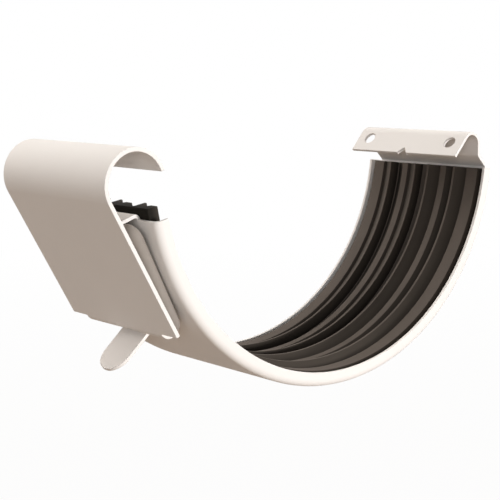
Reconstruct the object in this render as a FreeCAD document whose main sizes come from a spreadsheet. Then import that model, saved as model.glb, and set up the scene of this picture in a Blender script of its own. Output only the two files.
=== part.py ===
import FreeCAD, Part
import Sketcher
import math
import os
import re

# Union for a half-round gutter: X across the gutter with the clasp at -X, Y along the gutter, Z up,
# origin on the gutter's axis at mid width. Lengths in mm, angles in degrees.
# Front, rear, upper, lower and root angles go round the gutter's axis, down from the horizontal.
sizes = {
    # Gutter and band
    "gutter_diameter": 127.0,
    "flange_gap": 1.5,
    "flange_height": 4.3,
    "band_width": 52.0,
    "band_sheet": 1.0,
    "corner_radius": 2.2,
    "front_angle": 12.6,
    "rear_angle": 6.6,
    # Bail wire and its two pivots
    "wire_diameter": 4.0,
    "hinge_clearance": 0.08,
    "bail_standoff": 2.2,
    "upper_angle": 14.0,
    "lower_angle": 38.0,
    "leg_spacing": 41.6,
    "elbow_radius": 2.4,
    "wire_gap": 0.4,
    # Front lip that curls round the bail
    "lip_width": 35.4,
    "lip_rise": 0.1,
    "lip_bend": 0.6,
    "curl_angle": 175.0,
    # Clasp
    "clasp_width": 51.0,
    "clasp_sheet": 1.2,
    "clasp_angle": 29.5,
    "plate_length": 42.7,
    "roll_radius": 8.6,
    "roll_angle": 189.0,
    "knuckle_width": 36.8,
    "knuckle_angle": 290.0,
    "knuckle_lead": 4.0,
    # Locking tongue and the window it is cut from
    "tongue_width": 12.0,
    "tongue_length": 19.8,
    "tongue_bend": 0.8,
    "tongue_angle": 90.0,
    "tongue_gap": 0.35,
    "tongue_rise": 0.2,
    "tip_radius": 5.8,
    "window_margin": 0.3,
    # Rear hook
    "neck_gap": 0.7,
    "hook_width": 46.8,
    "kink_rise": 0.1,
    "kink_bend": 0.5,
    "kink_angle": 45.0,
    "fold_radius": 4.1,
    "fold_height": 0.0,
    "flap_angle": 49.0,
    "flap_run": 7.9,
    "hole_diameter": 4.2,
    "hole_spacing": 36.0,
    "hole_margin": 5.25,
    "notch_width": 4.0,
    "notch_depth": 2.2,
    # Gasket
    "glue_gap": 0.1,
    "base_thickness": 1.2,
    "edge_gap": 1.1,
    "front_overhang": 3.1,
    "shoulder_setback": 1.5,
    "rear_setback": 0.35,
    "lip_offset": 2.5,
    "lip_pitch": 11.4,
    "lip_height": 3.6,
    "lip_tip": 0.8,
    "lip_flank": 4.2,
    "groove_height": 1.3,
    "rib_height": 2.2,
    "rib_start": 4.9,
    "rib_flat": 2.4,
    "rib_end": 10.7,
    "edge_taper": 0.6,
    "nose_width": 43.2,
}

# Sizes that follow from the others
derived = {
    "gutter_radius": "gutter_diameter / 2",
    "outer_radius": "gutter_radius + flange_gap + flange_height",
    "wall_radius": "outer_radius - band_sheet",
    "wire_radius": "wire_diameter / 2",
    "curl_radius": "wire_radius + hinge_clearance",
    "pivot_radius": "outer_radius + bail_standoff + wire_radius",
    "upper_x": "-pivot_radius * cos(upper_angle)",
    "upper_z": "-pivot_radius * sin(upper_angle)",
    "lower_x": "-pivot_radius * cos(lower_angle)",
    "lower_z": "-pivot_radius * sin(lower_angle)",
    "bail_length": "2 * pivot_radius * sin((lower_angle - upper_angle) / 2)",
    "bail_angle": "(lower_angle + upper_angle) / 2",
    "shoulder_x": "-outer_radius * cos(front_angle)",
    "shoulder_z": "-outer_radius * sin(front_angle)",
    "bend_x": "shoulder_x + lip_rise * -sin(front_angle) - lip_bend * cos(front_angle)",
    "bend_z": "shoulder_z + lip_rise * cos(front_angle) - lip_bend * sin(front_angle)",
    "pivot_reach": "sqrt((bend_x - upper_x)^2 + (bend_z - upper_z)^2)",
    "reach_angle": "atan((bend_z - upper_z) / (bend_x - upper_x)) / 1deg",
    "lip_run": "sqrt(pivot_reach^2 - (curl_radius - lip_bend)^2)",
    "lip_angle": "reach_angle - asin((curl_radius - lip_bend) / pivot_reach) / 1deg",
    "foot_x": "lower_x - curl_radius * cos(clasp_angle)",
    "foot_z": "lower_z - curl_radius * sin(clasp_angle)",
    "knuckle_radius": "curl_radius + clasp_sheet",
    "root_reach": "knuckle_radius + tongue_gap + band_sheet + tongue_bend + tongue_rise",
    "root_angle": "lower_angle + asin(root_reach / pivot_radius) / 1deg",
    "root_x": "-outer_radius * cos(root_angle)",
    "root_z": "-outer_radius * sin(root_angle)",
    "tongue_flat": "tongue_length - tongue_bend",
    "window_width": "tongue_width + 2 * window_margin",
    "window_length": "tongue_rise + pi / 2 * (tongue_bend + band_sheet / 2) + tongue_flat + window_margin",
    "rear_x": "outer_radius * cos(rear_angle)",
    "rear_z": "-outer_radius * sin(rear_angle)",
    "neck_x": "gutter_radius + neck_gap + band_sheet",
    "kink_outer": "kink_bend + band_sheet",
    "kink_start": "90 - rear_angle",
    "kink_end": "90 + kink_angle",
    "kink_side": "kink_rise * cos(kink_start) + kink_outer * (sin(kink_end) - sin(kink_start))",
    "kink_run": "(rear_x - neck_x + kink_side - kink_bend * (1 - sin(kink_end))) / sin(kink_angle)",
    "kink_climb": "kink_rise * sin(kink_start) + kink_outer * (cos(kink_start) - cos(kink_end))",
    "neck_z": "rear_z + kink_climb + (kink_run * cos(kink_angle)) - kink_bend * cos(kink_end)",
    "neck_run": "fold_height - neck_z",
    "fold_angle": "90 + flap_angle",
    "flap_x": "neck_x - fold_radius * (1 + sin(flap_angle)) - flap_run * cos(flap_angle)",
    "flap_z": "fold_height + fold_radius * cos(flap_angle) - flap_run * sin(flap_angle)",
    "seat_radius": "wall_radius - glue_gap",
    "base_radius": "seat_radius - base_thickness",
    "gasket_half": "band_width / 2 - band_sheet - edge_gap",
}

# Distance under which two places count as the same
touch = 0.01

doc = FreeCAD.newDocument("gutter_union")
sheet = doc.addObject("Spreadsheet::Sheet", "Sizes")
cells = [(alias, str(number)) for alias, number in sizes.items()]
cells += [(alias, "=" + formula) for alias, formula in derived.items()]
for row, (alias, content) in enumerate(cells, 1):
    sheet.set(f"A{row}", alias)
    sheet.set(f"B{row}", content)
    sheet.setAlias(f"B{row}", alias)
doc.recompute()


# Every size name has an underscore, so a formula's names can be pointed at the sheet
def linked(formula):
    return re.sub(r"[a-z]+(?:_[a-z]+)+", lambda name: "Sizes." + name.group(), formula)


def value(formula):
    result = sheet.evalExpression(linked(formula))
    return float(getattr(result, "Value", result))


def bind(item, field, formula):
    item.setExpression(field, linked(formula))


def new_body(label):
    body = doc.addObject("PartDesign::Body", label)
    body.Label = label
    return body


def new_sketch(body, name, plane):
    sketch = body.newObject("Sketcher::SketchObject", name)
    support = next(item for item in body.Origin.OriginFeatures if item.Role == plane)
    sketch.AttachmentSupport = [(support, "")]
    sketch.MapMode = "FlatFace"
    return sketch


# Turns a YZ sketch about Y until it faces the given way round from +X, and sets its origin
def face_along(sketch, centre_x, centre_z, polar):
    turn = FreeCAD.Rotation(FreeCAD.Vector(-1, 0, 0), value(polar))
    sketch.AttachmentOffset = FreeCAD.Placement(FreeCAD.Vector(0, value(centre_z), value(centre_x)), turn)
    bind(sketch, "AttachmentOffset.Base.y", centre_z)
    bind(sketch, "AttachmentOffset.Base.z", centre_x)
    bind(sketch, "AttachmentOffset.Rotation.Angle", f"({polar}) * 1deg")


def fix(sketch, kind, places, formula):
    number = value(formula)
    if kind == "Angle":
        number = math.radians(number)
        formula = f"({formula}) * 1deg"
    index = sketch.addConstraint(Sketcher.Constraint(kind, *places, number))
    bind(sketch, f"Constraints[{index}]", formula)


def join(sketch, kind, *places):
    sketch.addConstraint(Sketcher.Constraint(kind, *places))


def place_point(sketch, item, end, point):
    fix(sketch, "DistanceX", (-1, 1, item, end), point[0])
    fix(sketch, "DistanceY", (-1, 1, item, end), point[1])


# Adds a chain of tangent lines and arcs; a run is (length,) or (radius, turn) with left turns positive.
# Returns each item's number with its first and last point.
def add_chain(sketch, start, heading, runs):
    spot = FreeCAD.Vector(start[0], start[1], 0)
    angle = math.radians(heading)
    items = []
    for run in runs:
        if len(run) == 1:
            ahead = FreeCAD.Vector(math.cos(angle), math.sin(angle), 0) * run[0]
            items.append((sketch.addGeometry(Part.LineSegment(spot, spot + ahead), False), 1, 2))
            spot = spot + ahead
            continue
        radius, turn = run[0], math.radians(run[1])
        side = math.copysign(math.pi / 2, turn)
        centre = spot + FreeCAD.Vector(math.cos(angle + side), math.sin(angle + side), 0) * radius
        first = angle - side
        last = first + turn
        circle = Part.Circle(centre, FreeCAD.Vector(0, 0, 1), radius)
        number = sketch.addGeometry(Part.ArcOfCircle(circle, min(first, last), max(first, last)), False)
        items.append((number, 1, 2) if turn > 0 else (number, 2, 1))
        spot = centre + FreeCAD.Vector(math.cos(last), math.sin(last), 0) * radius
        angle = angle + turn
    for before, after in zip(items, items[1:]):
        join(sketch, "Tangent", before[0], before[2], after[0], after[1])
    return items


# Fixes a chain's start, its first direction and the size of each run
def fix_chain(sketch, items, start, heading, runs):
    place_point(sketch, items[0][0], items[0][1], start)
    fix(sketch, "Angle", (items[0][0],), heading)
    for item, run in zip(items, runs):
        if len(run) == 1:
            fix(sketch, "Distance", (item[0],), run[0])
        else:
            fix(sketch, "Radius", (item[0],), run[0])
            fix(sketch, "Angle", (item[0],), run[1].lstrip("-"))


def draw_chain(sketch, start, heading, runs):
    start_numbers = [value(part) for part in start]
    run_numbers = [tuple(value(part) for part in run) for run in runs]
    items = add_chain(sketch, start_numbers, value(heading), run_numbers)
    fix_chain(sketch, items, start, heading, runs)
    return items


# Adds a straight line from one item's point to another's
def add_link(sketch, first, first_end, last, last_end):
    ends = [sketch.getPoint(first, first_end), sketch.getPoint(last, last_end)]
    link = sketch.addGeometry(Part.LineSegment(*ends), False)
    join(sketch, "Coincident", link, 1, first, first_end)
    join(sketch, "Coincident", link, 2, last, last_end)
    return link


# Draws the outline of a bent sheet: one face as a chain that starts with a line, and the other face at the
# sheet's thickness to its left (side +1) or right (side -1), closed by a square cut at each end
def draw_bent_sheet(sketch, start, heading, runs, thickness, side):
    near_runs = [tuple(value(part) for part in run) for run in runs]
    gauge = value(thickness)
    angle = math.radians(value(heading))
    origin = [value(part) for part in start]
    far_start = [origin[0] - side * gauge * math.sin(angle), origin[1] + side * gauge * math.cos(angle)]
    far_runs = []
    far_radii = []
    for run, formulas in zip(near_runs, runs):
        if len(run) == 1:
            far_runs.append(run)
            far_radii.append(None)
            continue
        grows = math.copysign(1, run[1]) * side < 0
        far_runs.append((run[0] + gauge if grows else run[0] - gauge, run[1]))
        far_radii.append(f"{formulas[0]} {'+' if grows else '-'} {thickness}")
    near = draw_chain(sketch, start, heading, runs)
    far = add_chain(sketch, far_start, value(heading), far_runs)
    caps = []
    for edge, end in ((0, 1), (-1, 2)):
        caps.append(add_link(sketch, near[edge][0], near[edge][end], far[edge][0], far[edge][end]))
    for this, that, radius in zip(near, far, far_radii):
        if radius:
            join(sketch, "Coincident", that[0], 3, this[0], 3)
            fix(sketch, "Radius", (that[0],), radius)
    join(sketch, "Parallel", far[0][0], near[0][0])
    join(sketch, "Perpendicular", caps[0], near[0][0])
    if len(runs[-1]) == 2:
        join(sketch, "PointOnObject", near[-1][0], 3, caps[1])
    else:
        join(sketch, "Parallel", far[-1][0], near[-1][0])
        join(sketch, "Perpendicular", caps[1], near[-1][0])


# Draws a closed outline with straight sides through the given points
def draw_polygon(sketch, points):
    corners = [FreeCAD.Vector(value(point[0]), value(point[1]), 0) for point in points]
    sides = []
    for corner, following in zip(corners, corners[1:] + corners[:1]):
        sides.append(sketch.addGeometry(Part.LineSegment(corner, following), False))
    for side, following in zip(sides, sides[1:] + sides[:1]):
        join(sketch, "Coincident", side, 2, following, 1)
    for side, point in zip(sides, points):
        place_point(sketch, side, 1, point)


def draw_circle(sketch, centre, radius):
    middle = FreeCAD.Vector(value(centre[0]), value(centre[1]), 0)
    circle = sketch.addGeometry(Part.Circle(middle, FreeCAD.Vector(0, 0, 1), value(radius)), False)
    place_point(sketch, circle, 3, centre)
    fix(sketch, "Radius", (circle,), radius)


def add_revolution(body, sketch, front_sweep, rear_sweep):
    turned = body.newObject("PartDesign::Revolution", sketch.Name + "_turned")
    turned.Profile = sketch
    turned.ReferenceAxis = (sketch, ["H_Axis"])
    turned.Type = "TwoAngles"
    bind(turned, "Angle", f"({front_sweep}) * 1deg")
    bind(turned, "Angle2", f"({rear_sweep}) * 1deg")
    sketch.Visibility = False
    return turned


def add_pad(body, sketch, width):
    pad = body.newObject("PartDesign::Pad", sketch.Name + "_pad")
    pad.Profile = sketch
    pad.SideType = "Symmetric"
    bind(pad, "Length", width)
    sketch.Visibility = False
    return pad


def add_pocket(body, sketch, depth):
    pocket = body.newObject("PartDesign::Pocket", sketch.Name + "_pocket")
    pocket.Profile = sketch
    bind(pocket, "Length", depth)
    sketch.Visibility = False
    return pocket


# Band: channel section turned round the gutter's axis
band = new_body("band")
channel = new_sketch(band, "channel", "YZ_Plane")
channel_runs = [
    ("flange_height - corner_radius",),
    ("corner_radius", "90"),
    ("band_width - 2 * corner_radius",),
    ("corner_radius", "90"),
    ("flange_height - corner_radius",),
]
channel_start = ("-band_width / 2", "-outer_radius + flange_height")
draw_bent_sheet(channel, channel_start, "-90", channel_runs, "band_sheet", 1)
add_revolution(band, channel, "90 - front_angle", "90 - rear_angle")

# Band: front lip, bent outwards and curled round the bail's upper bar
front_lip = new_sketch(band, "front_lip", "XZ_Plane")
lip_runs = [
    ("lip_rise",),
    ("lip_bend", "90 - front_angle + lip_angle"),
    ("lip_run",),
    ("curl_radius", "curl_angle"),
]
draw_bent_sheet(front_lip, ("shoulder_x", "shoulder_z"), "90 + front_angle", lip_runs, "band_sheet", -1)
add_pad(band, front_lip, "lip_width")

# Band: rear hook with its kink, neck, fold and sloped flap
rear_hook = new_sketch(band, "rear_hook", "XZ_Plane")
hook_runs = [
    ("kink_rise",),
    ("kink_outer", "rear_angle + kink_angle"),
    ("kink_run",),
    ("kink_bend", "-kink_angle"),
    ("neck_run",),
    ("fold_radius", "fold_angle"),
    ("flap_run",),
]
draw_bent_sheet(rear_hook, ("rear_x", "rear_z"), "kink_start", hook_runs, "band_sheet", 1)
add_pad(band, rear_hook, "hook_width")

# Band: window left by the tongue, with a round upper end
window = new_sketch(band, "window", "YZ_Plane")
face_along(window, "root_x", "root_z", "180 + root_angle")
window_side = ("window_length - window_width / 2",)
window_runs = [window_side, ("window_width / 2", "180"), window_side]
outline = draw_chain(window, ("-window_width / 2", "0"), "-90", window_runs)
add_link(window, outline[-1][0], outline[-1][2], outline[0][0], outline[0][1])
add_pocket(band, window, "flange_height + band_sheet")

# Band: tongue bent out under the clasp's knuckle
tongue = new_sketch(band, "tongue", "XZ_Plane")
tongue_runs = [
    ("tongue_rise",),
    ("tongue_bend", "tongue_angle"),
    ("tongue_flat",),
]
draw_bent_sheet(tongue, ("root_x", "root_z"), "90 + root_angle", tongue_runs, "band_sheet", -1)
tongue_pad = add_pad(band, tongue, "tongue_width")
doc.recompute()
outward = FreeCAD.Vector(-value("cos(root_angle)"), 0, -value("sin(root_angle)"))
tip_reach = value("outer_radius + tongue_length")
tip_edges = []
for number, edge in enumerate(tongue_pad.Shape.Edges, 1):
    middle = edge.CenterOfMass
    if abs(middle.dot(outward) - tip_reach) < touch and abs(middle.y) > value("tongue_width / 2") - touch:
        tip_edges.append(f"Edge{number}")
tongue_tip = band.newObject("PartDesign::Fillet", "tongue_tip")
tongue_tip.Base = (tongue_pad, tip_edges)
bind(tongue_tip, "Radius", "tip_radius")

# Band: two holes and a notch in the flap
flap_cuts = new_sketch(band, "flap_cuts", "YZ_Plane")
face_along(flap_cuts, "flap_x", "flap_z", "90 + flap_angle")
draw_circle(flap_cuts, ("hole_spacing / 2", "-hole_margin"), "hole_diameter / 2")
draw_circle(flap_cuts, ("-hole_spacing / 2", "-hole_margin"), "hole_diameter / 2")
draw_polygon(flap_cuts, [
    ("-notch_width / 2", "band_sheet"),
    ("notch_width / 2", "band_sheet"),
    ("notch_width / 2", "0"),
    ("0", "-notch_depth"),
    ("-notch_width / 2", "0"),
])
add_pocket(band, flap_cuts, "2 * band_sheet")

# Gasket: base strip with two steep lips and two broad ribs to each side of the middle
gasket = new_body("gasket")
rib_section = new_sketch(gasket, "rib_section", "YZ_Plane")


# Section points of one lip and the rise to the rib beside it, from the lip's steep side outwards
def lip_points(step):
    return [
        (step, "base_radius"),
        (step, "base_radius - lip_height"),
        (f"{step} + lip_tip", "base_radius - lip_height"),
        (f"{step} + lip_flank", "base_radius - groove_height"),
        (f"{step} + rib_start", "base_radius - rib_height"),
    ]


half_section = lip_points("lip_offset") + [
    ("lip_offset + rib_start + rib_flat", "base_radius - rib_height"),
    ("lip_offset + rib_end", "base_radius"),
]
half_section += lip_points("lip_offset + lip_pitch") + [
    ("gasket_half - edge_taper", "base_radius - rib_height"),
    ("gasket_half", "base_radius"),
    ("gasket_half", "seat_radius"),
]
far_half = [(across, f"-({radius})") for across, radius in half_section]
near_half = [(f"-({across})", f"-({radius})") for across, radius in reversed(half_section)]
draw_polygon(rib_section, far_half + near_half)
front_span = "90 - front_angle + front_overhang / wall_radius * 180 / pi"
rear_span = "90 - rear_angle - rear_setback / wall_radius * 180 / pi"
add_revolution(gasket, rib_section, front_span, rear_span)

# Gasket: both sides cut narrower towards the front end, from just below the band's shoulder
nose_trim = new_sketch(gasket, "nose_trim", "YZ_Plane")
face_along(nose_trim, "0", "0", "270 + front_angle + shoulder_setback / wall_radius * 180 / pi")
for side in ("", "-"):
    draw_polygon(nose_trim, [
        (f"{side}nose_width / 2", "-outer_radius"),
        (f"{side}band_width / 2", "-outer_radius"),
        (f"{side}band_width / 2", "-base_radius + lip_height + band_sheet"),
        (f"{side}nose_width / 2", "-base_radius + lip_height + band_sheet"),
    ])
nose_groove = gasket.newObject("PartDesign::Groove", "nose_groove")
nose_groove.Profile = nose_trim
nose_groove.ReferenceAxis = (nose_trim, ["H_Axis"])
bind(nose_groove, "Angle", "(shoulder_setback + 2 * front_overhang) / wall_radius * 180 / pi * 1deg")
nose_trim.Visibility = False

# Bail: a rectangle of round wire with its ends meeting inside the knuckle, lower bar on the body's Y axis
bail = new_body("bail")
bail_line = new_sketch(bail, "bail_line", "YZ_Plane")
half_bar = "leg_spacing / 2 - elbow_radius - wire_gap / 2"
leg_run = "bail_length - 2 * elbow_radius"
elbow_run = ("elbow_radius", "90")
bail_runs = [
    (half_bar,),
    elbow_run,
    (leg_run,),
    elbow_run,
    ("leg_spacing - 2 * elbow_radius",),
    elbow_run,
    (leg_run,),
    elbow_run,
    (half_bar,),
]
draw_chain(bail_line, ("wire_gap / 2", "0"), "0", bail_runs)
wire_section = new_sketch(bail, "wire_section", "XZ_Plane")
bind(wire_section, "AttachmentOffset.Base.z", "-wire_gap / 2")
draw_circle(wire_section, ("0", "0"), "wire_radius")
wire = bail.newObject("PartDesign::AdditivePipe", "wire")
wire.Profile = wire_section
wire.Spine = (bail_line, [f"Edge{number + 1}" for number in range(len(bail_runs))])
bail_line.Visibility = False
wire_section.Visibility = False
lean = FreeCAD.Rotation(FreeCAD.Vector(0, -1, 0), value("bail_angle"))
bail.Placement = FreeCAD.Placement(FreeCAD.Vector(), lean)
bind(bail, "Placement.Base.x", "lower_x")
bind(bail, "Placement.Base.z", "lower_z")
bind(bail, "Placement.Rotation.Angle", "bail_angle * 1deg")

# Clasp: sloped plate rolled over at the top into a hook, and round the bail's lower bar at the bottom
clasp = new_body("clasp")
hook_plate = new_sketch(clasp, "hook_plate", "XZ_Plane")
plate_runs = [("plate_length",), ("roll_radius", "-roll_angle")]
draw_bent_sheet(hook_plate, ("foot_x", "foot_z"), "90 + clasp_angle", plate_runs, "clasp_sheet", 1)
add_pad(clasp, hook_plate, "clasp_width")
knuckle = new_sketch(clasp, "knuckle", "XZ_Plane")
lead_x = "foot_x - knuckle_lead * sin(clasp_angle)"
lead_z = "foot_z + knuckle_lead * cos(clasp_angle)"
knuckle_runs = [("knuckle_lead",), ("curl_radius", "knuckle_angle")]
draw_bent_sheet(knuckle, (lead_x, lead_z), "clasp_angle - 90", knuckle_runs, "clasp_sheet", -1)
add_pad(clasp, knuckle, "knuckle_width")

doc.recompute()

os.makedirs("parts", exist_ok=True)
for item in doc.Objects:
    if any(word in item.State for word in ("Invalid", "Error")):
        raise RuntimeError(f"{item.Label} did not build")
for body in (band, gasket, bail, clasp):
    if body.Shape.isNull() or not body.Shape.isValid() or len(body.Shape.Solids) != 1:
        raise RuntimeError(f"{body.Label} is not one sound solid")
    body.Shape.exportStep(f"parts/{body.Label}.step")
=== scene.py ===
import math
import bmesh
import bpy
from mathutils import Matrix, Vector


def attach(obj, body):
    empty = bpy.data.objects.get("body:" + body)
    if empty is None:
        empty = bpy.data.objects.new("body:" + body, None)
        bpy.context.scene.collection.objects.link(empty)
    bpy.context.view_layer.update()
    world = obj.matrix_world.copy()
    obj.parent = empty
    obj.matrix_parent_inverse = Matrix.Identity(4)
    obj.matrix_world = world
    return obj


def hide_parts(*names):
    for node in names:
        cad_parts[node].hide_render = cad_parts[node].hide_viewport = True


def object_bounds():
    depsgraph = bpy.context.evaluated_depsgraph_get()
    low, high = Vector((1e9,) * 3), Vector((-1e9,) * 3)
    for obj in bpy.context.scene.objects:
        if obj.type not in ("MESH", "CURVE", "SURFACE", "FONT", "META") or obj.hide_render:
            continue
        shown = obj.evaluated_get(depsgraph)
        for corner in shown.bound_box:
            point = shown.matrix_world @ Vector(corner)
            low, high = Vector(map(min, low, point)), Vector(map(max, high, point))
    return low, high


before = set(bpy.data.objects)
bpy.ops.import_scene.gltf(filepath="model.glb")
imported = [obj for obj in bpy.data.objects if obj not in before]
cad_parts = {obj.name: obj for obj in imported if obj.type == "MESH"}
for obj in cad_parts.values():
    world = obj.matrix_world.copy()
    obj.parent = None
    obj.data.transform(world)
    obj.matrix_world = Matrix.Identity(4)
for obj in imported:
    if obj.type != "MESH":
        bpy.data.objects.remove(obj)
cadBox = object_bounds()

mm = 0.001
sameSpot = 0.004 * mm      # places closer than this count as one
sameDrop = 0.01            # and turns closer than this many degrees
leastSteps = 3             # in the shortest bend
easeSegments = 2           # across an eased edge
smoothBelow = 50           # edges that turn by less, in degrees, are shaded smooth
roundY = (0, -1, 0)        # spin axis: seen from the near side, turns to the left are positive
print("frame loaded")


# Places and directions

def dropSpot(radius, drop, across=0.0):      # on the gutter's round, drop in degrees below the front horizon
    turn = math.radians(drop)
    return Vector((-radius * math.cos(turn), across, -radius * math.sin(turn)))


def dropOf(spot):
    return math.degrees(math.atan2(-spot.z, -spot.x))


def headingWay(heading):      # heading in degrees from +X towards +Z
    turn = math.radians(heading)
    return Vector((math.cos(turn), 0, math.sin(turn)))


# Modelling as by hand: one vertex, then extrude and spin

def startPoint(name, spot):      # a plane merged to its middle leaves one vertex
    bpy.ops.object.select_all(action="DESELECT")
    bpy.ops.mesh.primitive_plane_add(size=mm, location=(0, 0, 0))
    piece = bpy.context.object
    piece.name = piece.data.name = name
    bpy.ops.object.mode_set(mode="EDIT")
    bpy.ops.mesh.select_mode(type="VERT")
    bpy.ops.mesh.select_all(action="SELECT")
    bpy.ops.mesh.merge(type="CENTER")
    bpy.ops.transform.translate(value=spot)
    return piece


def pull(step):
    bpy.ops.mesh.extrude_region_move(TRANSFORM_OT_translate={"value": step})


def turnAbout(centre, axis, degrees, steps):      # spin counts turns the other way round its axis
    bpy.ops.mesh.spin(steps=steps, angle=-math.radians(degrees), center=centre, axis=axis)


def bendAlong(spot, heading, runs, stepTurn=9.0):      # runs: (length,) straight, (radius, turn) round a bend
    for run in runs:
        ahead = headingWay(heading)
        if len(run) == 1:
            pull(ahead * run[0])
            spot = spot + ahead * run[0]
            continue
        radius, turn = run
        toSide = headingWay(heading + math.copysign(90, turn)) * radius
        turnAbout(spot + toSide, roundY, turn, max(leastSteps, round(abs(turn) / stepTurn)))
        heading += turn
        spot = spot + toSide - headingWay(heading + math.copysign(90, turn)) * radius
    return spot


def pick(test):      # selects by place
    shape = bmesh.from_edit_mesh(bpy.context.object.data)
    for face in shape.faces:
        face.select = False
    for edge in shape.edges:
        edge.select = False
    for corner in shape.verts:
        corner.select = bool(test(corner.co))
    shape.select_flush(True)
    bmesh.update_edit_mesh(bpy.context.object.data)


def pickFaces(test):      # selects faces by their middle
    bpy.ops.mesh.select_mode(type="FACE")
    bpy.ops.mesh.select_all(action="DESELECT")
    shape = bmesh.from_edit_mesh(bpy.context.object.data)
    for face in shape.faces:
        face.select = bool(test(face.calc_center_median()))
    bmesh.update_edit_mesh(bpy.context.object.data)


def faceAway(spot, away):      # one way round for all faces, with the face at spot looking along away
    bpy.ops.mesh.select_mode(type="VERT")
    bpy.ops.mesh.select_all(action="SELECT")
    bpy.ops.mesh.remove_doubles(threshold=sameSpot)
    bpy.ops.mesh.normals_make_consistent(inside=False)
    shape = bmesh.from_edit_mesh(bpy.context.object.data)
    nearest = min(shape.faces, key=lambda face: (face.calc_center_median() - spot).length)
    if nearest.normal.dot(away) < 0:
        bpy.ops.mesh.flip_normals()


def applyModifier(piece, kind, **settings):
    change = piece.modifiers.new(kind.lower(), kind)
    for field, setting in settings.items():
        setattr(change, field, setting)
    bpy.ops.object.select_all(action="DESELECT")
    bpy.context.view_layer.objects.active = piece
    piece.select_set(True)
    bpy.ops.object.modifier_apply(modifier=change.name)


def thicken(piece, sheet):      # the modelled skin is the outer face, the sheet grows inwards
    bpy.ops.object.mode_set(mode="OBJECT")
    applyModifier(piece, "SOLIDIFY", thickness=sheet, offset=-1, use_even_offset=True,
                  use_quality_normals=True)


def cutAway(piece, cutters):
    for cutter in cutters:
        applyModifier(piece, "BOOLEAN", object=cutter, operation="DIFFERENCE", solver="EXACT")
        bpy.data.objects.remove(cutter)


def easeEdges(piece, s):      # eased edges catch a thin line of light, flat faces stay flat
    applyModifier(piece, "BEVEL", width=s["edgeEase"], segments=easeSegments, limit_method="ANGLE",
                  angle_limit=math.radians(s["easeAbove"]), use_clamp_overlap=False, miter_outer="MITER_ARC")
    bpy.ops.object.shade_smooth_by_angle(angle=math.radians(smoothBelow))
    applyModifier(piece, "WEIGHTED_NORMAL", keep_sharp=True)


def peg(radius, depth, sides, spot, axis, spread=1.0):      # a prism cutter along axis, widened across Y
    bpy.ops.object.select_all(action="DESELECT")
    bpy.ops.mesh.primitive_cylinder_add(vertices=sides, radius=radius, depth=depth, location=(0, 0, 0))
    cutter = bpy.context.object
    bpy.ops.transform.resize(value=(1, spread, 1))
    bpy.ops.object.transform_apply(location=True, rotation=True, scale=True)
    turn = Vector((0, 0, 1)).rotation_difference(axis).to_matrix().to_4x4()
    cutter.data.transform(Matrix.Translation(spot) @ turn)
    return cutter


def settle(piece, body, node, finish):
    piece.data.materials.clear()
    piece.data.materials.append(finish)
    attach(piece, body)
    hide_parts(node)
    print(piece.name, "has", len(piece.data.polygons), "faces")


# Materials: pattern sizes in millimetres

def linear(hexColour):      # by the sRGB curve
    channels = [int(hexColour[i:i + 2], 16) / 255 for i in (1, 3, 5)]
    return [c / 12.92 if c <= 0.04045 else ((c + 0.055) / 1.055) ** 2.4 for c in channels] + [1.0]


def addNode(tree, kind, settings=None, links=None):
    node = tree.nodes.new(kind)
    for field, setting in (settings or {}).items():
        if isinstance(field, int) or field in node.inputs:
            node.inputs[field].default_value = setting
        else:
            setattr(node, field, setting)
    for socket, source in (links or {}).items():
        tree.links.new(source, node.inputs[socket])
    return node


def newFinish(name):
    finish = bpy.data.materials.new(name)
    finish.use_nodes = True
    tree = finish.node_tree
    return finish, tree, tree.nodes["Principled BSDF"]


def perMm(size):      # texture scale for a feature of that many millimetres
    return 1 / (size * mm)


coatLook = {
    "pale": "#F0EDEA", "deep": "#EAE6E2", "cloud": 30.0, "cloudDetail": 3.0, "peel": 0.9, "peelDetail": 1.0,
    # real grit is about 0.1 mm, drawn coarser so that it shows
    "grit": 0.4, "gritDetail": 2.0, "gritShare": 0.25,
    "rough": (0.55, 0.68), "relief": 0.06, "reliefDepth": 0.05 * mm, "ior": 1.5, "shine": 0.08,
}
# The wire's coat is the same paint in a darker grey, partly a duller wire coat and partly painted shade for
# the gap between plate and band where it sits; clouded more finely
wireLook = {**coatLook, "pale": "#9C948C", "deep": "#8F8780", "cloud": 3.0}


# Polyester coil coating on steel: pale satin paint, faintly clouded, with a fine orange peel
def coatedSteel(name, look):
    finish, tree, skin = newFinish(name)
    place = addNode(tree, "ShaderNodeTexCoord")
    cloud = addNode(tree, "ShaderNodeTexNoise",
                    {"Scale": perMm(look["cloud"]), "Detail": look["cloudDetail"]},
                    {"Vector": place.outputs["Object"]})
    tint = addNode(tree, "ShaderNodeMix",
                   {"data_type": "RGBA", "A": linear(look["deep"]), "B": linear(look["pale"])},
                   {"Factor": cloud.outputs["Fac"]})
    tree.links.new(tint.outputs["Result"], skin.inputs["Base Color"])
    gloss = addNode(tree, "ShaderNodeMapRange", {"To Min": look["rough"][0], "To Max": look["rough"][1]},
                    {"Value": cloud.outputs["Fac"]})
    tree.links.new(gloss.outputs["Result"], skin.inputs["Roughness"])
    peel = addNode(tree, "ShaderNodeTexNoise",
                   {"Scale": perMm(look["peel"]), "Detail": look["peelDetail"]},
                   {"Vector": place.outputs["Object"]})
    grit = addNode(tree, "ShaderNodeTexNoise",
                   {"Scale": perMm(look["grit"]), "Detail": look["gritDetail"]},
                   {"Vector": place.outputs["Object"]})
    height = addNode(tree, "ShaderNodeMath", {"operation": "MULTIPLY_ADD", 1: look["gritShare"]},
                     {0: grit.outputs["Fac"], 2: peel.outputs["Fac"]})
    relief = addNode(tree, "ShaderNodeBump", {"Strength": look["relief"], "Distance": look["reliefDepth"]},
                     {"Height": height.outputs["Value"]})
    tree.links.new(relief.outputs["Normal"], skin.inputs["Normal"])
    skin.inputs["IOR"].default_value = look["ior"]
    skin.inputs["Specular IOR Level"].default_value = look["shine"]
    return finish


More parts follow.
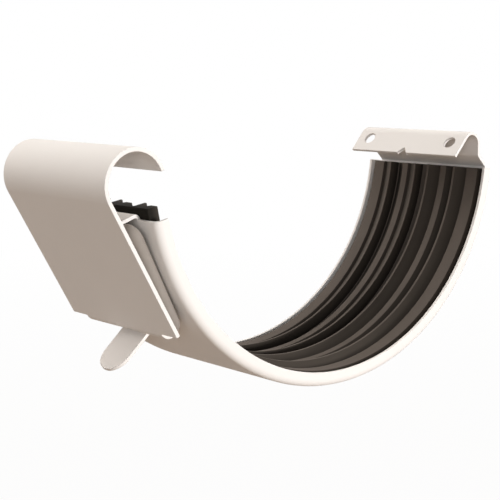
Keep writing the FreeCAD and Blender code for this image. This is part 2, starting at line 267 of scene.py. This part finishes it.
rubberLook = {
    # groove is painted shade, darkest at the groove floor and gone up at shadeEndReach
    "groove": "#201D19", "slope": ("#3D3732", "#453F39"), "top": ("#57504A", "#635B55"),
    "shadeDarkestReach": 67.0 * mm, "shadeEndReach": 64.4 * mm,      # from the gutter's axis
    "sheenTurn": (-0.86, -0.97),      # painted sheen: how squarely a face looks at that axis, from slope to top: -1 is square
    # real die lines are about 0.1 mm apart, drawn coarser so that they show
    "dieLine": 0.35, "dieDetail": 2.0, "cloud": 9.0, "cloudDetail": 4.0,
    "rough": (0.58, 0.74), "relief": 0.15, "reliefDepth": 0.06 * mm,
    "ior": 1.52, "shine": 0.05,
}


# Extruded EPDM rubber: brown-black and half matt, with painted shade that darkens it down into the grooves
# and a painted sheen that makes the tops looking at the gutter's axis paler, with faint die lines along its
# length
def epdmRubber(name, look):
    finish, tree, skin = newFinish(name)
    place = addNode(tree, "ShaderNodeTexCoord")
    parts = addNode(tree, "ShaderNodeSeparateXYZ", links={"Vector": place.outputs["Object"]})
    radial = addNode(tree, "ShaderNodeCombineXYZ", links={"X": parts.outputs["X"], "Z": parts.outputs["Z"]})
    reach = addNode(tree, "ShaderNodeVectorMath", {"operation": "LENGTH"}, {0: radial.outputs["Vector"]})
    along = addNode(tree, "ShaderNodeCombineXYZ",
                    links={"X": parts.outputs["Y"], "Y": reach.outputs["Value"]})
    lines = addNode(tree, "ShaderNodeTexNoise",
                    {"Scale": perMm(look["dieLine"]), "Detail": look["dieDetail"]},
                    {"Vector": along.outputs["Vector"]})
    cloud = addNode(tree, "ShaderNodeTexNoise",
                    {"Scale": perMm(look["cloud"]), "Detail": look["cloudDetail"]},
                    {"Vector": place.outputs["Object"]})
    slope, top = (addNode(tree, "ShaderNodeMix", {"data_type": "RGBA", "A": linear(dark), "B": linear(pale)},
                          {"Factor": cloud.outputs["Fac"]}) for dark, pale in (look["slope"], look["top"]))
    outward = addNode(tree, "ShaderNodeVectorMath", {"operation": "NORMALIZE"}, {0: radial.outputs["Vector"]})
    facing = addNode(tree, "ShaderNodeVectorMath", {"operation": "DOT_PRODUCT"},
                     {0: outward.outputs["Vector"], 1: place.outputs["Normal"]})
    # painted sheen: faces that look square at the gutter's axis get the paler top colour
    paintedSheenMask = addNode(tree, "ShaderNodeMapRange",
                     {"From Min": look["sheenTurn"][0], "From Max": look["sheenTurn"][1]},
                     {"Value": facing.outputs["Value"]})
    # painted shade: the deeper a face lies towards the groove floor, the more of the groove colour it gets
    height = addNode(tree, "ShaderNodeMapRange",
                     {"From Min": look["shadeDarkestReach"], "From Max": look["shadeEndReach"]},
                     {"Value": reach.outputs["Value"]})
    side = addNode(tree, "ShaderNodeMix", {"data_type": "RGBA", "A": linear(look["groove"])},
                   {"Factor": height.outputs["Result"], "B": slope.outputs["Result"]})
    tint = addNode(tree, "ShaderNodeMix", {"data_type": "RGBA"},
                   {"Factor": paintedSheenMask.outputs["Result"], "A": side.outputs["Result"],
                    "B": top.outputs["Result"]})
    tree.links.new(tint.outputs["Result"], skin.inputs["Base Color"])
    gloss = addNode(tree, "ShaderNodeMapRange", {"To Min": look["rough"][0], "To Max": look["rough"][1]},
                    {"Value": lines.outputs["Fac"]})
    tree.links.new(gloss.outputs["Result"], skin.inputs["Roughness"])
    relief = addNode(tree, "ShaderNodeBump", {"Strength": look["relief"], "Distance": look["reliefDepth"]},
                     {"Height": lines.outputs["Fac"]})
    tree.links.new(relief.outputs["Normal"], skin.inputs["Normal"])
    skin.inputs["IOR"].default_value = look["ior"]
    skin.inputs["Specular IOR Level"].default_value = look["shine"]
    return finish


coatFinish = coatedSteel("polyesterCoatedSteel", coatLook)
wireFinish = coatedSteel("coatedSteelWire", wireLook)
rubberFinish = epdmRubber("extrudedEpdmRubber", rubberLook)
print("materials ready")


# Band: channel, front lip, tongue and rear hook from one sheet

bandSizes = {
    "outerRadius": 69.3 * mm, "sheet": 1.0 * mm, "halfWidth": 26.0 * mm,
    "flange": 4.3 * mm, "corner": 2.2 * mm, "cornerSteps": 8,
    "frontDrop": 12.6, "rearDrop": 173.4, "ringTurn": 1.5, "leastRings": 6,
    "lipHalf": 17.7 * mm, "lipRuns": [(0.1 * mm,), (0.6 * mm, 96.4796), (3.7688 * mm,), (2.08 * mm, 175.0)],
    "hookHalf": 23.4 * mm, "hookTurn": 7.0,
    "hookRuns": [(0.1 * mm,), (1.5 * mm, 51.6), (4.3506 * mm,), (0.5 * mm, -45.0), (3.2028 * mm,),
                 (4.1 * mm, 139.0), (7.9 * mm,)],
    "flapHeading": 229.0, "flapCut": 4.0 * mm,
    "holeRadius": 2.1 * mm, "holeSides": 48, "holeAcross": 18.0 * mm, "holeUp": 5.25 * mm,
    "notchHalf": 2.0 * mm, "notchDeep": 2.2 * mm, "notchSides": 4,
    "rootDrop": 42.393, "tongueHalf": 6.0 * mm, "tongueRuns": [(0.2 * mm,), (0.8 * mm, 90.0), (19.0 * mm,)],
    "tipRound": 5.8 * mm, "tipSegments": 12,
    "windowHalf": 6.3 * mm, "windowStraight": 15.242 * mm, "windowCut": 12.0 * mm, "windowSides": 64,
    "edgeEase": 0.16 * mm, "easeAbove": 40,
}


def makeBand(s):
    out = dropSpot(1, s["frontDrop"])
    foot = dropSpot(s["outerRadius"] - s["flange"], s["frontDrop"], -s["halfWidth"])
    band = startPoint("unionBand", foot)
    straight = s["flange"] - s["corner"]
    sectionAxis = out.cross(Vector((0, 1, 0)))
    pull(out * straight)      # near flange, corner, wall, corner, far flange
    bend = dropSpot(s["outerRadius"] - s["corner"], s["frontDrop"], s["corner"] - s["halfWidth"])
    turnAbout(bend, sectionAxis, 90, s["cornerSteps"])
    stops = [s["hookHalf"], s["lipHalf"], s["windowHalf"], s["tongueHalf"]]
    stops = [-stop for stop in stops] + stops[::-1] + [s["halfWidth"] - s["corner"]]
    here = s["corner"] - s["halfWidth"]
    for stop in stops:
        pull((0, stop - here, 0))
        here = stop
    bend.y = -bend.y
    turnAbout(bend, sectionAxis, 90, s["cornerSteps"])
    pull(out * -straight)
    bpy.ops.mesh.select_all(action="SELECT")      # the section turned round the gutter's axis, ring by ring
    windowTop = s["rootDrop"] - math.degrees(math.asin(s["windowStraight"] / s["outerRadius"]))
    drops = [s["frontDrop"], windowTop, s["rootDrop"], s["rearDrop"]]
    for first, last in zip(drops, drops[1:]):
        steps = max(s["leastRings"], round((last - first) / s["ringTurn"]))
        turnAbout((0, 0, 0), roundY, last - first, steps)

    def onRing(drop, half):
        return lambda spot: (abs(dropOf(spot) - drop) < sameDrop and abs(spot.y) < half + sameSpot
                             and abs(math.hypot(spot.x, spot.z) - s["outerRadius"]) < sameSpot)

    pickFaces(lambda spot: abs(spot.y) < s["windowHalf"] and windowTop < dropOf(spot) < s["rootDrop"])
    bpy.ops.mesh.delete(type="FACE")      # the window that the tongue is bent out of
    bpy.ops.mesh.select_mode(type="VERT")
    pick(onRing(s["frontDrop"], s["lipHalf"]))
    bendAlong(dropSpot(s["outerRadius"], s["frontDrop"]), 90 + s["frontDrop"], s["lipRuns"])
    pick(onRing(s["rearDrop"], s["hookHalf"]))
    hookSpot = dropSpot(s["outerRadius"], s["rearDrop"])
    flapEnd = bendAlong(hookSpot, s["rearDrop"] - 90, s["hookRuns"], s["hookTurn"])
    pick(onRing(s["rootDrop"], s["tongueHalf"]))
    rootSpot = dropSpot(s["outerRadius"], s["rootDrop"])
    tip = bendAlong(rootSpot, 90 + s["rootDrop"], s["tongueRuns"])
    pick(lambda spot: (Vector((spot.x, 0, spot.z)) - tip).length < sameSpot)
    bpy.ops.mesh.bevel(affect="VERTICES", offset=s["tipRound"], segments=s["tipSegments"])
    faceAway(Vector((0, 0, -s["outerRadius"])), Vector((0, 0, -1)))
    thicken(band, s["sheet"])

    upFlap = headingWay(s["flapHeading"] + 180)
    offFlap = headingWay(s["flapHeading"] - 90)
    rootOut = dropSpot(1, s["rootDrop"])
    windowEnd = rootSpot + headingWay(90 + s["rootDrop"]) * s["windowStraight"]
    cutters = [peg(s["windowHalf"], s["windowCut"], s["windowSides"], windowEnd, rootOut)]
    for across in (-s["holeAcross"], s["holeAcross"]):
        spot = flapEnd + upFlap * s["holeUp"] + Vector((0, across, 0))
        cutters.append(peg(s["holeRadius"], s["flapCut"], s["holeSides"], spot, offFlap))
    notchSpread = s["notchHalf"] / s["notchDeep"]
    cutters.append(peg(s["notchDeep"], s["flapCut"], s["notchSides"], flapEnd, offFlap, notchSpread))
    cutAway(band, cutters)
    easeEdges(band, s)
    return band


band = makeBand(bandSizes)
settle(band, "band", "band", coatFinish)


# Gasket: lipped rubber section turned round the gutter's axis

gasketSizes = {
    "seatRadius": 68.2 * mm, "baseRadius": 67.0 * mm, "wallRadius": 68.3 * mm,
    "half": 23.9 * mm, "edgeTaper": 0.6 * mm, "groove": 1.3 * mm,
    "lipOffset": 2.5 * mm, "lipPitch": 11.4 * mm, "lipHeight": 3.6 * mm, "lipTip": 0.8 * mm,
    "lipFlank": 4.2 * mm, "rib": 2.2 * mm, "ribStart": 4.9 * mm, "ribFlat": 2.4 * mm, "ribEnd": 10.7 * mm,
    "frontDrop": 12.6, "rearDrop": 173.4, "rearBack": 0.35 * mm, "shoulderBack": 1.5 * mm, "arcSteps": 112,
    "overhang": 3.1 * mm, "noseHalf": 21.6 * mm, "noseSteps": 4, "edgeEase": 0.18 * mm, "easeAbove": 25,
}


def makeGasket(s):
    def lip(step):      # one lip and the rise to the rib beside it, as (across, height)
        return [(step, 0), (step, s["lipHeight"]), (step + s["lipTip"], s["lipHeight"]),
                (step + s["lipFlank"], s["groove"]), (step + s["ribStart"], s["rib"])]

    side = lip(s["lipOffset"])
    side += [(s["lipOffset"] + s["ribStart"] + s["ribFlat"], s["rib"]), (s["lipOffset"] + s["ribEnd"], 0)]
    side += lip(s["lipOffset"] + s["lipPitch"])
    side += [(s["half"] - s["edgeTaper"], s["rib"]), (s["half"], 0),
             (s["half"], s["baseRadius"] - s["seatRadius"])]
    outline = [(-across, height) for across, height in reversed(side)] + side
    rearEnd = s["rearDrop"] - math.degrees(s["rearBack"] / s["wallRadius"])
    corners = [dropSpot(s["baseRadius"] - height, rearEnd, across) for across, height in outline]
    gasket = startPoint("sealingGasket", corners[0])
    for here, there in zip(corners, corners[1:]):
        pull(there - here)
    bpy.ops.mesh.select_all(action="SELECT")
    bpy.ops.mesh.edge_face_add()
    for across in (-s["noseHalf"], s["noseHalf"]):      # the narrower front end is parted off in the section
        bpy.ops.mesh.select_all(action="SELECT")
        bpy.ops.mesh.bisect(plane_co=(0, across, 0), plane_no=(0, 1, 0))
    bpy.ops.mesh.select_all(action="SELECT")
    shoulder = s["frontDrop"] + math.degrees(s["shoulderBack"] / s["wallRadius"])
    turnAbout((0, 0, 0), roundY, shoulder - rearEnd, s["arcSteps"])
    ahead = math.degrees((s["overhang"] + s["shoulderBack"]) / s["wallRadius"])
    pickFaces(lambda spot: abs(dropOf(spot) - shoulder) < sameDrop and abs(spot.y) < s["noseHalf"])
    turnAbout((0, 0, 0), roundY, -ahead, s["noseSteps"])
    faceAway(Vector((0, 0, -s["seatRadius"])), Vector((0, 0, -1)))
    bpy.ops.object.mode_set(mode="OBJECT")
    easeEdges(gasket, s)
    return gasket


gasket = makeGasket(gasketSizes)
settle(gasket, "band", "gasket", rubberFinish)


# Bail: one wire bent to a rectangle, its ends meeting in the knuckle

bailSizes = {
    "wireRadius": 2.0 * mm, "wireSides": 28, "legSpacing": 41.6 * mm, "elbow": 2.4 * mm, "elbowSteps": 8,
    "lower": Vector((-57.9188 * mm, 0, -45.2511 * mm)), "upper": Vector((-71.3167 * mm, 0, -17.7813 * mm)),
    "gap": 0.4 * mm, "edgeEase": 0.2 * mm, "easeAbove": 60,
}


def makeBail(s):
    rise = s["upper"] - s["lower"]
    up = rise.normalized()
    across = Vector((0, 1, 0))
    outward = across.cross(up)      # normal to the loop, so turns from across to up are positive
    bar = s["legSpacing"] / 2 - s["elbow"] - s["gap"] / 2
    leg = rise.length - 2 * s["elbow"]
    spot = s["lower"] + across * (s["gap"] / 2)
    bpy.ops.object.select_all(action="DESELECT")
    bpy.ops.mesh.primitive_circle_add(vertices=s["wireSides"], radius=s["wireRadius"], fill_type="NGON",
                                      location=(0, 0, 0))
    bail = bpy.context.object
    bail.name = bail.data.name = "wireBail"
    bpy.ops.object.mode_set(mode="EDIT")
    bpy.ops.mesh.select_all(action="SELECT")
    bpy.ops.transform.rotate(value=math.radians(90), orient_axis="X", center_override=(0, 0, 0))
    bpy.ops.transform.translate(value=spot)
    way = across
    for length in (bar, leg, s["legSpacing"] - 2 * s["elbow"], leg):
        pull(way * length)
        spot = spot + way * length
        toSide = outward.cross(way)
        turnAbout(spot + toSide * s["elbow"], outward, 90, s["elbowSteps"])
        spot = spot + (toSide + way) * s["elbow"]
        way = toSide
    pull(way * bar)
    faceAway(s["lower"] + across * (s["gap"] / 2), -across)
    bpy.ops.object.mode_set(mode="OBJECT")
    easeEdges(bail, s)
    return bail


bail = makeBail(bailSizes)
settle(bail, "bail", "bail", wireFinish)


# Clasp: sloped plate, rolled hook above, knuckle round the bail below

claspSizes = {
    "half": 25.5 * mm, "knuckleHalf": 18.4 * mm, "sheet": 1.2 * mm, "tilt": 29.5,
    "foot": Vector((-59.7291 * mm, 0, -46.2754 * mm)), "plate": 42.7 * mm,
    "roll": (8.6 * mm, -189.0), "rollTurn": 4.5, "knuckle": (2.08 * mm, 290.0),
    "edgeEase": 0.16 * mm, "easeAbove": 40,
}


def makeClasp(s):
    stops = [-s["half"], -s["knuckleHalf"], s["knuckleHalf"], s["half"]]
    clasp = startPoint("rolledClasp", s["foot"] + Vector((0, stops[0], 0)))
    for here, there in zip(stops, stops[1:]):
        pull((0, there - here, 0))
    bpy.ops.mesh.select_all(action="SELECT")
    bendAlong(s["foot"], 90 + s["tilt"], [(s["plate"],), s["roll"]], s["rollTurn"])
    pick(lambda spot: abs(spot.y) < s["knuckleHalf"] + sameSpot
         and (Vector((spot.x, 0, spot.z)) - s["foot"]).length < sameSpot)
    bendAlong(s["foot"], s["tilt"] - 90, [s["knuckle"]])
    middle = s["foot"] + headingWay(90 + s["tilt"]) * (s["plate"] / 2)
    faceAway(middle, headingWay(s["tilt"]))
    thicken(clasp, s["sheet"])
    easeEdges(clasp, s)
    return clasp


clasp = makeClasp(claspSizes)
settle(clasp, "clasp", "clasp", coatFinish)


# Floor, light and camera

def seenRay(tree):      # 1 for the rays that see the white ground
    ray = addNode(tree, "ShaderNodeLightPath")
    straight = addNode(tree, "ShaderNodeMath", {"operation": "MAXIMUM"},
                       {0: ray.outputs["Is Camera Ray"], 1: ray.outputs["Is Glossy Ray"]})
    seen = addNode(tree, "ShaderNodeMath", {"operation": "MAXIMUM"},
                   {0: straight.outputs["Value"], 1: ray.outputs["Is Transmission Ray"]})
    return seen.outputs["Value"]


floorSizes = {"drop": 60 * mm, "size": 8.0, "shadowNear": 0.15, "shadowFar": 0.7}
floorLook = {"paint": "#948373", "rough": 0.9, "shine": 0.0, "shadowShare": 0.03}


def makeFloor(s, look):
    bpy.ops.object.select_all(action="DESELECT")
    bpy.ops.mesh.primitive_plane_add(size=s["size"], location=(0, 0, cadBox[0][2] - s["drop"]))
    floor = bpy.context.object
    floor.name = "paleFloor"
    finish, tree, skin = newFinish("paleFloorPaint")
    skin.inputs["Base Color"].default_value = linear(look["paint"])
    skin.inputs["Roughness"].default_value = look["rough"]
    skin.inputs["Specular IOR Level"].default_value = look["shine"]
    place = addNode(tree, "ShaderNodeTexCoord")
    reach = addNode(tree, "ShaderNodeVectorMath", {"operation": "LENGTH"}, {0: place.outputs["Object"]})
    whiter = addNode(tree, "ShaderNodeMapRange", {"From Min": s["shadowNear"], "From Max": s["shadowFar"],
                                                  "To Min": 1 - look["shadowShare"], "To Max": 1.0},
                     {"Value": reach.outputs["Value"]})      # the shadow fades out into the white
    share = addNode(tree, "ShaderNodeMath", {"operation": "MULTIPLY"},
                    {0: seenRay(tree), 1: whiter.outputs["Result"]})
    white = addNode(tree, "ShaderNodeEmission", {"Strength": 1.0})
    blend = addNode(tree, "ShaderNodeMixShader", links={0: share.outputs["Value"], 1: skin.outputs["BSDF"],
                                                        2: white.outputs["Emission"]})
    tree.links.new(blend.outputs["Shader"], tree.nodes["Material Output"].inputs["Surface"])
    floor.data.materials.append(finish)


worldLook = {"ambient": 0.2, "ground": "#FFFFFF"}


def makeWorld(look):
    world = bpy.data.worlds.new("studioWorld")
    bpy.context.scene.world = world
    world.use_nodes = True
    tree = world.node_tree
    level = addNode(tree, "ShaderNodeMapRange", {"To Min": look["ambient"], "To Max": 1.0},
                    {"Value": seenRay(tree)})
    tree.nodes["Background"].inputs["Color"].default_value = linear(look["ground"])
    tree.links.new(level.outputs["Result"], tree.nodes["Background"].inputs["Strength"])


lamps = {
    "nearKey": {"from": (0.45, -1.948, 0.035), "size": 0.4, "watts": 37.0, "tint": "#FFFFFF"},
    "frontFill": {"from": (-1.457, -1.359, 0.174), "size": 0.8, "watts": 10.3, "tint": "#FFFFFF"},
    "farSoft": {"from": (-0.486, 1.815, 0.684), "size": 0.8, "watts": 28.0, "tint": "#FFF6EE"},
    "farTop": {"from": (-0.42, 1.005, 1.677), "size": 0.8, "watts": 12.0, "tint": "#FFFAF4"},
    "rightTop": {"from": (1.0, 0.0, 1.732), "size": 0.8, "watts": 16.7, "tint": "#FFFAF4"},
}


def makeLamp(name, s):      # a soft square lamp that looks at the origin
    light = bpy.data.lights.new(name, "AREA")
    light.size = s["size"]
    light.energy = s["watts"]
    light.color = linear(s["tint"])[:3]
    lamp = bpy.data.objects.new(name, light)
    spot = Vector(s["from"])
    lamp.matrix_world = Matrix.Translation(spot) @ spot.to_track_quat("Z", "Y").to_matrix().to_4x4()
    bpy.context.scene.collection.objects.link(lamp)


cameraSizes = {
    "lens": 91.735, "sensor": 36.0, "nearest": 0.01, "spot": (-0.261595, -0.293176, 0.02498),
    "right": (0.76330013, -0.64604083, -0.002041), "up": (0.09322109, 0.10701386, 0.9898777),
    "back": (-0.63928299, -0.75576404, 0.14190833),
}


def makeCamera(s):
    view = bpy.data.cameras.new("photoView")
    view.lens = s["lens"]
    view.sensor_width = s["sensor"]
    view.clip_start = s["nearest"]
    eye = bpy.data.objects.new("photoView", view)
    turn = Matrix((s["right"], s["up"], s["back"])).transposed().to_4x4()
    eye.matrix_world = Matrix.Translation(s["spot"]) @ turn
    bpy.context.scene.collection.objects.link(eye)
    bpy.context.scene.camera = eye


makeFloor(floorSizes, floorLook)
makeWorld(worldLook)
for lampName, lampSizes in lamps.items():
    makeLamp(lampName, lampSizes)
makeCamera(cameraSizes)
bpy.context.scene.view_settings.view_transform = "Standard"
print("stage ready")

bpy.context.view_layer.update()
